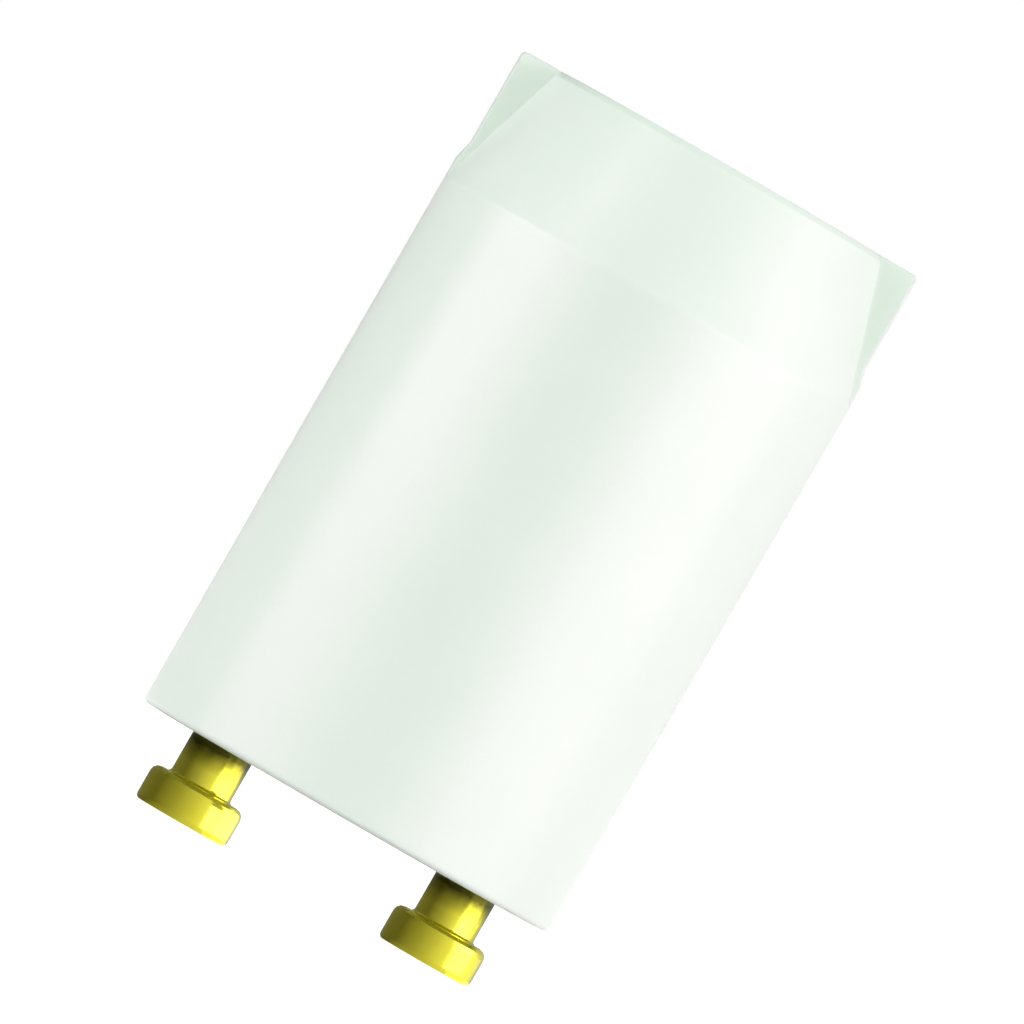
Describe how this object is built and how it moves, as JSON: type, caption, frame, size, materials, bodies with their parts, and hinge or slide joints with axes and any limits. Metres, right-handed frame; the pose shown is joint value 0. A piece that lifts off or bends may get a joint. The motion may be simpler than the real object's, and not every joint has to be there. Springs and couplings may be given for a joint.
{
  "type": "fluorescent starter",
  "caption": "Glow starter for a fluorescent lamp: white moulded can with a finger grip, and brass twist-lock contact pins at its base.",
  "frame": {"origin": "middle of the plane that the end faces of the contact pins lie in, on the can's axis", "axes": "+Z along the can's axis, from the pins to the closed end; the pins lie on the X axis; -Y is the side the picture shows"},
  "size_m": [0.021, 0.021, 0.038],
  "materials": {
    "white_polycarbonate": "satin moulded white with a faint green tint",
    "base_plastic": "matt moulded off-white",
    "pin_brass": "bright turned",
    "solder": "bright solder",
    "tinned_wire": "tinned",
    "clear_glass": "clear",
    "electrode_nickel": "dull nickel",
    "bimetal": "rolled",
    "capacitor_coating": "dipped resin"
  },
  "bodies": {
    "root": {"can": "white_polycarbonate", "base_disc": "base_plastic", "contact_pin_left": "pin_brass", "contact_pin_right": "pin_brass", "solder_joint_left": "solder", "solder_joint_right": "solder", "bulb_lead_left": "tinned_wire", "bulb_lead_right": "tinned_wire", "capacitor_lead_left": "tinned_wire", "capacitor_lead_right": "tinned_wire", "glow_bulb": "clear_glass", "glow_stem": "clear_glass", "fixed_electrode": "electrode_nickel", "bimetal_strip": "bimetal", "capacitor_body": "capacitor_coating"}
  },
  "joints": []
}
